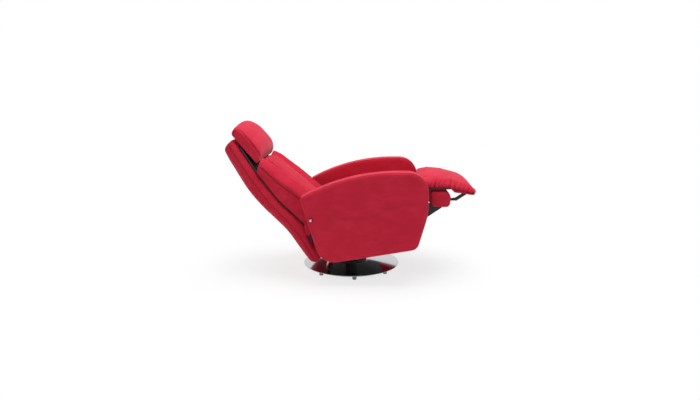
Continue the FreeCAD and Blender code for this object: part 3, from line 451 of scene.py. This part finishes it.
# %% [markdown]
# A row of short stitches runs beside each seam. One stitch is modelled from a short bar whose
# ends are drawn out and narrowed. A row is copies of that one mesh: rays from outside find where
# the finished cover lies under the row, and each stitch is laid there and turned along it.

# %% Model one stitch, and lay stitches in rows
stitch_length = 4.4 * millimetre
stitch_pitch = 6.5 * millimetre
stitch_radius = 0.6 * millimetre
ray_start = 0.05
ray_length = 0.3


def model_stitch():
    middle_length = stitch_length * 0.7
    tip_length = (stitch_length - middle_length) / 2
    bpy.ops.mesh.primitive_cylinder_add(vertices=6, radius=stitch_radius, depth=middle_length)
    stitch = bpy.context.view_layer.objects.active
    for way in (1, -1):
        for vertex in stitch.data.vertices:
            vertex.select = way * vertex.co.z > 0
        for edge in stitch.data.edges:
            edge.select = False
        for polygon in stitch.data.polygons:
            polygon.select = way * polygon.center.z > middle_length / 4
        bpy.ops.object.mode_set(mode="EDIT")
        bpy.ops.mesh.extrude_region_move(TRANSFORM_OT_translate={"value": (0, 0, way * tip_length)})
        bpy.ops.transform.resize(value=(0.45, 0.45, 1.0), center_override=(0, 0, 0))
        bpy.ops.object.mode_set(mode="OBJECT")
    points = read_points(stitch).copy()
    points[:, 2] = np.clip(points[:, 2], -stitch_length / 2, stitch_length / 2)
    faces = [tuple(polygon.vertices) for polygon in stitch.data.polygons]
    bpy.data.objects.remove(stitch)
    return points, faces


stitch_points, stitch_faces = model_stitch()
print("one stitch has", len(stitch_points), "points and", len(stitch_faces), "faces")


def beside(line, distance, closed=False):
    """A side-view line moved to its left by a distance."""
    line = np.array(line, dtype=float)
    if closed:
        along = np.roll(line, -1, axis=0) - np.roll(line, 1, axis=0)
    else:
        along = np.gradient(line, axis=0)
    along /= np.linalg.norm(along, axis=1, keepdims=True)
    return line + np.stack([-along[:, 1], along[:, 0]], axis=1) * distance


def evenly(places, pitch):
    """Places spaced evenly along a path."""
    places = np.array(places, dtype=float)
    steps = np.linalg.norm(np.diff(places, axis=0), axis=1)
    reach = np.concatenate([[0], np.cumsum(steps)])
    wanted = np.arange(pitch / 2, reach[-1], pitch)
    columns = [np.interp(wanted, reach, places[:, axis]) for axis in range(places.shape[1])]
    return np.stack(columns, axis=1)


def lay_stitches(name, cover, rows, body):
    """Rows are (starts, direction): rays from the starts along the direction meet the cover."""
    polygons = [tuple(polygon.vertices) for polygon in cover.data.polygons]
    tree = BVHTree.FromPolygons(read_points(cover).tolist(), polygons)
    points = []
    faces = []
    for starts, direction in rows:
        hits = []
        for start in starts:
            place, normal, _, _ = tree.ray_cast(Vector(start), Vector(direction), ray_length)
            if place is not None:
                hits.append((*place, *normal))
        if len(hits) < 2:
            continue
        laid = evenly(np.array(hits)[:, :3], stitch_pitch)
        for place, following in zip(laid[:-1], laid[1:]):
            near, normal, _, _ = tree.find_nearest(Vector(place))
            along = Vector(following - place).normalized()
            across = along.cross(normal).normalized()
            turn = np.array([normal, across, along])
            first = len(points) * len(stitch_points)
            faces += [tuple(first + index for index in face) for face in stitch_faces]
            points.append(stitch_points @ turn + np.array(near + normal * stitch_radius * 0.3))
    mesh = bpy.data.meshes.new(name)
    mesh.from_pydata(np.concatenate(points).tolist(), [], faces)
    mesh.materials.append(thread_finish)
    row = bpy.data.objects.new(name, mesh)
    scene.collection.objects.link(row)
    only(row)
    bpy.ops.object.shade_smooth()
    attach(row, body)
    print(name, "has", len(points), "stitches")


def flank_rows(line, half_width, distances):
    """Rows on both flanks, beside a side-view line."""
    rows = []
    for sign in (1, -1):
        for distance in distances:
            moved = evenly(beside(evenly(line, 10 * millimetre), distance), 4 * millimetre)
            starts = [(sign * (half_width + ray_start), -forward, up) for forward, up in moved]
            rows.append((starts, (-sign, 0, 0)))
    return rows


# %% [markdown]
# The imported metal, timber and plastic keep their shapes and only get better finishes. Each
# finish is one small function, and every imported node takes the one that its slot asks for. The
# back's brackets wear a sleeve of the cover's cloth, and the pins by the legrest are blackened,
# so no bare steel catches the light beside the cushions.

# %% Finishes for the hard parts


def make_hard_finish(name, colour, metallic, roughness, scale, amount):
    finish, nodes, links, shader = new_finish(name)
    noise = add_noise(nodes, links, scale, 4.0)
    darker = tuple(channel * (1 - amount) for channel in colour)
    lighter = tuple(min(1.0, channel * (1 + amount)) for channel in colour)
    shade = blend_colours(nodes, links, darker, lighter, noise, 0.3, 0.7)
    links.new(shade, shader.inputs["Base Color"])
    rough = nodes.new("ShaderNodeMapRange")
    rough.inputs["To Min"].default_value = roughness * 0.85
    rough.inputs["To Max"].default_value = min(1.0, roughness * 1.2)
    links.new(noise, rough.inputs["Value"])
    links.new(rough.outputs["Result"], shader.inputs["Roughness"])
    shader.inputs["Metallic"].default_value = metallic
    return finish


def make_timber_finish():
    finish, nodes, links, shader = new_finish("sanded_timber")
    rings = add_noise(nodes, links, 18.0, 6.0, stretch=(6.0, 0.5, 6.0))
    fibres = add_noise(nodes, links, 180.0, 2.0, stretch=(3.0, 0.2, 3.0))
    colour = blend_colours(nodes, links, (0.50, 0.32, 0.16), (0.68, 0.48, 0.28), rings, 0.35, 0.65)
    colour = blend_colours(nodes, links, colour, (0.40, 0.25, 0.13), fibres, 0.6, 1.1)
    links.new(colour, shader.inputs["Base Color"])
    shader.inputs["Roughness"].default_value = 0.62
    links.new(add_bump(nodes, links, fibres, 0.3, 0.3 * millimetre), shader.inputs["Normal"])
    return finish


def make_webbing_finish():
    finish, nodes, links, shader = new_finish("woven_strap")
    place = nodes.new("ShaderNodeTexCoord")
    weave = nodes.new("ShaderNodeTexWave")
    weave.inputs["Scale"].default_value = 220.0
    weave.inputs["Distortion"].default_value = 0.6
    links.new(place.outputs["Object"], weave.inputs["Vector"])
    threads = weave.outputs["Fac"]
    colour = blend_colours(nodes, links, (0.015, 0.015, 0.016), (0.06, 0.06, 0.062), threads)
    links.new(colour, shader.inputs["Base Color"])
    shader.inputs["Roughness"].default_value = 0.9
    links.new(add_bump(nodes, links, threads, 0.5, 0.4 * millimetre), shader.inputs["Normal"])
    return finish


finishes = {
    "upholstery": cloth_finish,
    "webbing": make_webbing_finish(),
    "timber": make_timber_finish(),
    # Partly painted shade: the back board is a dark board, darkened further so its edge between the
    # shell and the cushions reads as a shadow gap.
    "dark_board": make_hard_finish("dark_board_and_painted_shadow", (0.012, 0.010, 0.009), 0.0, 0.7, 60.0, 0.35),
    "black_steel": make_hard_finish("black_powder_coat", (0.008, 0.008, 0.009), 0.0, 0.62, 260.0, 0.25),
    "polished_chrome": make_hard_finish("polished_chrome", (0.50, 0.505, 0.52), 1.0, 0.10, 14.0, 0.03),
    "zinc_steel": make_hard_finish("zinc_plated_steel", (0.55, 0.56, 0.58), 1.0, 0.32, 90.0, 0.15),
    "iron": make_hard_finish("cast_iron", (0.05, 0.05, 0.053), 0.6, 0.7, 160.0, 0.3),
    "glide_plastic": make_hard_finish("grey_glide", (0.34, 0.34, 0.35), 0.0, 0.5, 200.0, 0.12),
    "bearing_plastic": make_hard_finish("bearing_plastic", (0.68, 0.66, 0.58), 0.0, 0.45, 120.0, 0.06),
}
for part in frame["record"]["subparts"]:
    node = frame["nodes"][part["node"]]
    node.data.materials.clear()
    node.data.materials.append(finishes[part["material_slot"]])
for name in ("back_bracket_left", "back_bracket_right"):
    frame["nodes"][name].data.materials[0] = cloth_finish
for name in ("flap_pins", "leg_pivot_pins", "leg_pivot_spacers"):
    frame["nodes"][name].data.materials[0] = finishes["black_steel"]


# %% [markdown]
# A finished cover rides on its body, stands for its imported solids, and takes the cloth finish.
# That is the same for all of them, so it is one helper.

# %% Fit a finished cover to the chair


def fit_cover(piece, body, nodes):
    piece.data.materials.clear()
    piece.data.materials.append(cloth_finish)
    only(piece)
    bpy.ops.object.shade_smooth()
    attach(piece, body)
    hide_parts(*nodes)
    low = read_points(piece).min(axis=0)
    high = read_points(piece).max(axis=0)
    print(piece.name, "measures", [round(float(value), 3) for value in high - low])


# %% [markdown]
# Each arm is one slab: a wooden frame, thin padding, and a cover of two face panels joined by a
# band round the edge, with a welt at both edges of the band. The outer face also has one soft
# crease, from behind the elbow down to the middle of the arm and on to the front.

# %% Upholster the arms
arm_crease = [(-0.110, 0.380), (-0.020, 0.377), (0.080, 0.379), (0.120, 0.390), (0.165, 0.414),
              (0.215, 0.438), (0.280, 0.452), (0.399, 0.467)]
outer_seam = arm_outer - 11 * millimetre
inner_seam = arm_inner + 7 * millimetre
seam_to_stitches = 16 * millimetre


def make_arm(side, sign):
    nodes = ["arm_pad_inner_" + side, "arm_pad_outer_" + side]
    cover = cover_blank("arm_cover_" + side, nodes, 7 * millimetre, 9 * millimetre, 1.0 * millimetre)
    apply_modifier(cover, "SUBSURF", levels=1, render_levels=1)
    points = read_points(cover)
    outside = np.clip((np.abs(points[:, 0]) - (arm_outer - 0.02)) / 0.01, 0, 1)
    # The crease and the dimple round the recline bolt also get painted shade through the seam
    # attribute.
    sew(cover, side_distance(points, arm_crease), 16 * millimetre, 0.9 * millimetre, outside * 0.3)
    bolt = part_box("recline_bolts")
    bolt_place = (-(bolt[0].y + bolt[1].y) / 2, (bolt[0].z + bolt[1].z) / 2)
    points = read_points(cover)
    sew(cover, side_distance(points, [bolt_place, (bolt_place[0], bolt_place[1] + millimetre)]),
        24 * millimetre, 3 * millimetre, outside)
    points = read_points(cover)
    for edge in (outer_seam, inner_seam):
        sew(cover, np.abs(np.abs(points[:, 0]) - edge), 6 * millimetre, 1.5 * millimetre)
    fit_cover(cover, "chair", nodes)
    add_welt("arm_welt_outer_" + side, cover, sign * outer_seam, "chair")
    add_welt("arm_welt_inner_" + side, cover, sign * inner_seam, "chair")
    rows = []
    for place, start_place, way in (
            (outer_seam, arm_outer + ray_start, -1), (inner_seam, arm_inner - ray_start, 1)):
        outline = evenly([(-co.y, co.z) for co in cut_path(cover, sign * place)], 10 * millimetre)
        middle = outline.mean(axis=0)
        inward = beside(outline, seam_to_stitches, closed=True)
        outline_size = np.linalg.norm(outline - middle, axis=1).sum()
        if np.linalg.norm(inward - middle, axis=1).sum() > outline_size:
            inward = beside(outline, -seam_to_stitches, closed=True)
        starts = [(sign * start_place, -forward, up) for forward, up in inward]
        rows.append((starts, (sign * way, 0, 0)))
    lay_stitches("arm_stitches_" + side, cover, rows, "chair")


make_arm("left", 1)
make_arm("right", -1)

# %% [markdown]
# The back is an upholstered shell with a side seam down the middle of its thickness, and the
# seam line is halfway between the shell's front and rear outlines.

# %% Upholster the back shell
shell_facing = (0, 0.77, -0.64)
shell_side_seam = [(-0.655, 0.752), (-0.585, 0.640), (-0.520, 0.540), (-0.440, 0.432),
                   (-0.350, 0.340), (-0.282, 0.262), (-0.228, 0.170), (-0.205, 0.125)]


def make_shell():
    cover = cover_blank(
        "back_shell_cover", ["back_shell"], 8 * millimetre, 2 * millimetre, 1.5 * millimetre)
    swell(cover, shell_facing, 7 * millimetre, 3 * millimetre, pressure=2.0, steps=12)
    points = read_points(cover)
    sew(cover, side_distance(points, shell_side_seam), 8 * millimetre, 3 * millimetre,
        flank(points, back_half))
    points = read_points(cover)
    normals = read_normals(cover)
    behind = np.clip(normals @ np.array(shell_facing) * 2, 0, 1)
    from_edge = np.abs(np.abs(points[:, 0]) - (back_half - seam_inset))
    sew(cover, from_edge, 7 * millimetre, 2 * millimetre, behind)
    fit_cover(cover, "back", ["back_shell"])
    rows = flank_rows(shell_side_seam, back_half, (5 * millimetre,))
    lay_stitches("back_shell_stitches", cover, rows, "back")


make_shell()

# %% [markdown]
# The back cushion has a flat middle panel between two raised bolsters. Deep seams part the
# bolsters from the middle, and a boxing seam runs down each flank just behind the front edge.

# %% Upholster the back cushion
back_facing = (0, -0.642, 0.767)
back_boxing_seam = [(-0.480, 0.628), (-0.406, 0.560), (-0.347, 0.513), (-0.279, 0.463),
                    (-0.220, 0.417), (-0.165, 0.365)]
bolster_seam = 0.76 * back_half


def make_back_cushion():
    cover = cover_blank(
        "back_cushion_cover", ["back_cushion"], 6 * millimetre, 6 * millimetre, 2 * millimetre)
    swell(cover, back_facing, 12 * millimetre, 2 * millimetre)
    points = read_points(cover)
    normals = read_normals(cover)
    front = np.clip(normals @ np.array(back_facing) * 2, 0, 1)
    sew(cover, np.abs(np.abs(points[:, 0]) - bolster_seam), 10 * millimetre, 6 * millimetre, front)
    points = read_points(cover)
    sew(cover, side_distance(points, back_boxing_seam), 8 * millimetre, 3.5 * millimetre,
        flank(points, back_half))
    fit_cover(cover, "back", ["back_cushion"])
    rows = flank_rows(back_boxing_seam, back_half, (5 * millimetre, -5 * millimetre))
    face_line = evenly(beside(back_boxing_seam, 0.1), 4 * millimetre)
    for place in (bolster_seam - 7 * millimetre, bolster_seam + 7 * millimetre):
        for sign in (1, -1):
            starts = [(sign * place, -forward, up) for forward, up in face_line]
            rows.append((starts, [-part for part in back_facing]))
    lay_stitches("back_cushion_stitches", cover, rows, "back")


make_back_cushion()

# %% [markdown]
# The headrest is a plump pillow. Its flank is a flat boxing panel, and the seam round it
# follows the front edge, so the front panel stands proud of it in one big crown.

# %% Upholster the headrest
head_facing = (0, -0.78, 0.62)
head_boxing_seam = [(-0.627, 0.821), (-0.604, 0.833), (-0.580, 0.824), (-0.554, 0.792),
                    (-0.523, 0.755), (-0.497, 0.713), (-0.490, 0.692)]


def make_headrest():
    cover = cover_blank(
        "headrest_cover", ["headrest_pillow"], 6 * millimetre, 6 * millimetre, 2 * millimetre)
    swell(cover, head_facing, 3 * millimetre, 1 * millimetre)
    points = read_points(cover)
    sew(cover, side_distance(points, head_boxing_seam), 8 * millimetre, 3.5 * millimetre,
        flank(points, head_half))
    fit_cover(cover, "headrest", ["headrest_pillow"])
    rows = flank_rows(head_boxing_seam, head_half, (5 * millimetre, -5 * millimetre))
    lay_stitches("headrest_stitches", cover, rows, "headrest")


make_headrest()

# %% [markdown]
# The seat cushion lies between the arms. It is crowned, with a boxing seam near each side.

# %% Upholster the seat cushion


def make_seat():
    cover = cover_blank("seat_cover", ["seat_cushion"], 7 * millimetre, 2 * millimetre, 3 * millimetre)
    swell(cover, (0, 0, 1), 8 * millimetre, 2 * millimetre)
    points = read_points(cover)
    normals = read_normals(cover)
    top = np.clip(normals[:, 2] * 2, 0, 1)
    from_edge = np.abs(np.abs(points[:, 0]) - (seat_half - seam_inset))
    sew(cover, from_edge, 8 * millimetre, 3 * millimetre, top)
    fit_cover(cover, "chair", ["seat_cushion"])


make_seat()

# %% [markdown]
# The legrest's top panel is longer than the band it is sewn to, so the sewer gathers it: short
# folds stand on the seam along each flank, lean forward and die out toward the top. They are a
# wave along the seam that fades with the height above it, and slower waves make its step, swing
# and height uneven. A cloth simulation could make the folds too, but a wave is quicker and puts
# them where they are wanted.

# %% Upholster the legrest and the flap
legrest_seam = [(0.400, 0.525), (0.470, 0.526), (0.546, 0.522), (0.590, 0.511), (0.630, 0.501),
                (0.672, 0.493)]
flap_seam_inset = 14 * millimetre
gather_height = 80 * millimetre
gather_foot = 6 * millimetre
gather_width = 0.10
gather_lean = 0.5
gather_sunk = 0.3
gather_valley_shade = 3.2


def gather(piece, seam, half_width, step, rise):
    """Short folds on a seam along both flanks, a share of each sunk below the cover, with painted shade
    in their valleys.
    """
    points = read_points(piece)
    normals = read_normals(piece)
    forward = -points[:, 1]
    seam_places, seam_heights = np.array(seam).T
    above = points[:, 2] - np.interp(forward, seam_places, seam_heights)
    reach = gather_height * (0.75 + 0.25 * np.sin(forward * 83.0 + 0.6))
    fade = np.clip(above / gather_foot, 0, 1) * np.clip(1 - above / reach, 0, 1)
    place = forward - gather_lean * above
    uneven = place + 0.35 * step * np.sin(place / (2.3 * step)) + 0.0022 * np.sin(place * 190)
    wave = np.abs(np.sin(math.pi * uneven / step)) ** 0.7 - gather_sunk
    swing = 0.65 + 0.35 * np.sin(forward * 57.0 + 1.3)
    strength = swing * fade * flank(points, half_width, gather_width)
    write_points(piece, points + normals * (wave * strength * rise)[:, None])
    # Painted shade: the sunk part of each fold is written to the seam attribute, darkening the valleys
    # between the folds.
    paint_seam_shade(piece, np.clip(-wave * gather_valley_shade, 0, 1) * strength)


def make_legrest():
    cover = cover_blank(
        "legrest_cover", ["legrest_pad"], 6 * millimetre, 6 * millimetre, 1 * millimetre)
    swell(cover, (0, 0, 1), 8 * millimetre, 2 * millimetre)
    apply_modifier(cover, "SUBSURF", levels=1, render_levels=1)
    points = read_points(cover)
    sew(cover, side_distance(points, legrest_seam), 8 * millimetre, 4 * millimetre,
        flank(points, pad_half))
    gather(cover, legrest_seam, pad_half, 24 * millimetre, 17 * millimetre)
    fit_cover(cover, "legrest", ["legrest_pad"])
    rows = flank_rows(legrest_seam, pad_half, (-4 * millimetre,))
    lay_stitches("legrest_stitches", cover, rows, "legrest")


def make_flap():
    cover = cover_blank("flap_cover", ["flap_pad"], 6 * millimetre, 6 * millimetre, 2 * millimetre)
    swell(cover, (0, -1, 0), 4 * millimetre, 2 * millimetre)
    points = read_points(cover)
    from_edge = np.abs(np.abs(points[:, 0]) - (pad_half - flap_seam_inset))
    sew(cover, from_edge, 7 * millimetre, 2.5 * millimetre)
    fit_cover(cover, "flap", ["flap_pad"])


make_legrest()
make_flap()

# %% [markdown]
# The chair stands on a plain pale floor that turns pure white away from it, as in a studio
# with a paper sweep, so the floor keeps the chair's shadow and the picture has no horizon. The
# world is pure white to the camera and in reflections, and weaker as light on the chair.

# %% Floor and world


def seen_directly(nodes, links):
    """1 for a ray from the camera or a reflection, and 0 for any other ray."""
    rays = nodes.new("ShaderNodeLightPath")
    seen = nodes.new("ShaderNodeMath")
    seen.operation = "MAXIMUM"
    links.new(rays.outputs["Is Camera Ray"], seen.inputs[0])
    links.new(rays.outputs["Is Glossy Ray"], seen.inputs[1])
    return seen.outputs["Value"]


def make_floor():
    bpy.ops.mesh.primitive_plane_add(size=60.0, location=(0, 0, 0))
    floor = bpy.context.view_layer.objects.active
    floor.name = "studio_floor"
    finish, nodes, links, shader = new_finish("pale_floor")
    shader.inputs["Base Color"].default_value = (0.88, 0.88, 0.88, 1.0)
    shader.inputs["Roughness"].default_value = 0.9
    shader.inputs["Specular IOR Level"].default_value = 0.1
    place = nodes.new("ShaderNodeTexCoord")
    length = nodes.new("ShaderNodeVectorMath")
    length.operation = "LENGTH"
    links.new(place.outputs["Object"], length.inputs[0])
    fade = nodes.new("ShaderNodeMapRange")
    fade.interpolation_type = "SMOOTHSTEP"
    fade.inputs["From Min"].default_value = 0.35
    fade.inputs["From Max"].default_value = 1.1
    fade.inputs["To Min"].default_value = 0.75
    links.new(length.outputs["Value"], fade.inputs["Value"])
    share = nodes.new("ShaderNodeMath")
    share.operation = "MULTIPLY"
    links.new(seen_directly(nodes, links), share.inputs[0])
    links.new(fade.outputs["Result"], share.inputs[1])
    white = nodes.new("ShaderNodeEmission")
    white.inputs["Color"].default_value = (1, 1, 1, 1)
    mix = nodes.new("ShaderNodeMixShader")
    links.new(share.outputs["Value"], mix.inputs["Fac"])
    links.new(shader.outputs["BSDF"], mix.inputs[1])
    links.new(white.outputs["Emission"], mix.inputs[2])
    links.new(mix.outputs["Shader"], nodes["Material Output"].inputs["Surface"])
    floor.data.materials.append(finish)


def make_world():
    world = bpy.data.worlds.new("studio")
    scene.world = world
    world.use_nodes = True
    nodes = world.node_tree.nodes
    links = world.node_tree.links
    background = nodes["Background"]
    background.inputs["Color"].default_value = (1, 1, 1, 1)
    strength = nodes.new("ShaderNodeMapRange")
    strength.inputs["To Min"].default_value = 0.40
    strength.inputs["To Max"].default_value = 1.0
    links.new(seen_directly(nodes, links), strength.inputs["Value"])
    links.new(strength.outputs["Result"], background.inputs["Strength"])


make_floor()
make_world()

# %% [markdown]
# A large soft lamp overhead and a little in front brightens everything that faces up. Two weaker
# ones help it: one on the camera's side keeps the near arm a deep, even red, and one behind the
# far side parts the chair from the floor. The camera stands a touch in front of the chair's side.

# %% Lamps and camera


def add_lamp(name, place, target, size, power):
    bpy.ops.object.light_add(type="AREA", location=place)
    lamp = bpy.context.view_layer.objects.active
    lamp.name = name
    lamp.data.shape = "DISK"
    lamp.data.size = size
    lamp.data.energy = power
    aim = Vector(target) - Vector(place)
    lamp.rotation_euler = aim.to_track_quat("-Z", "Y").to_euler()


chair_middle = (0.0, 0.0, 0.45)
add_lamp("overhead_softbox", (-0.2, -0.5, 3.2), chair_middle, 2.6, 100.0)
add_lamp("camera_side_fill", (-2.8, 1.5, 2.0), chair_middle, 2.0, 10.0)
add_lamp("rear_fill", (2.2, 2.6, 1.8), chair_middle, 2.0, 20.0)

camera_distance = 3.31
camera_pitch = math.radians(11.15)
camera_turn = math.radians(1.2)
camera_target = Vector((0.0, 0.008, 0.407))
camera_lens = 28.94
bpy.ops.object.camera_add()
camera = bpy.context.view_layer.objects.active
camera.name = "photo_camera"
level = math.cos(camera_pitch)
back_off = Vector((
    -level * math.cos(camera_turn), -level * math.sin(camera_turn), math.sin(camera_pitch)))
camera.location = camera_target + back_off * camera_distance
camera.rotation_euler = (-back_off).to_track_quat("-Z", "Y").to_euler()
camera.data.sensor_width = 36.0
camera.data.lens = camera_lens
scene.camera = camera
scene.view_settings.view_transform = "Standard"
print("camera stands at", [round(value, 3) for value in camera.location])
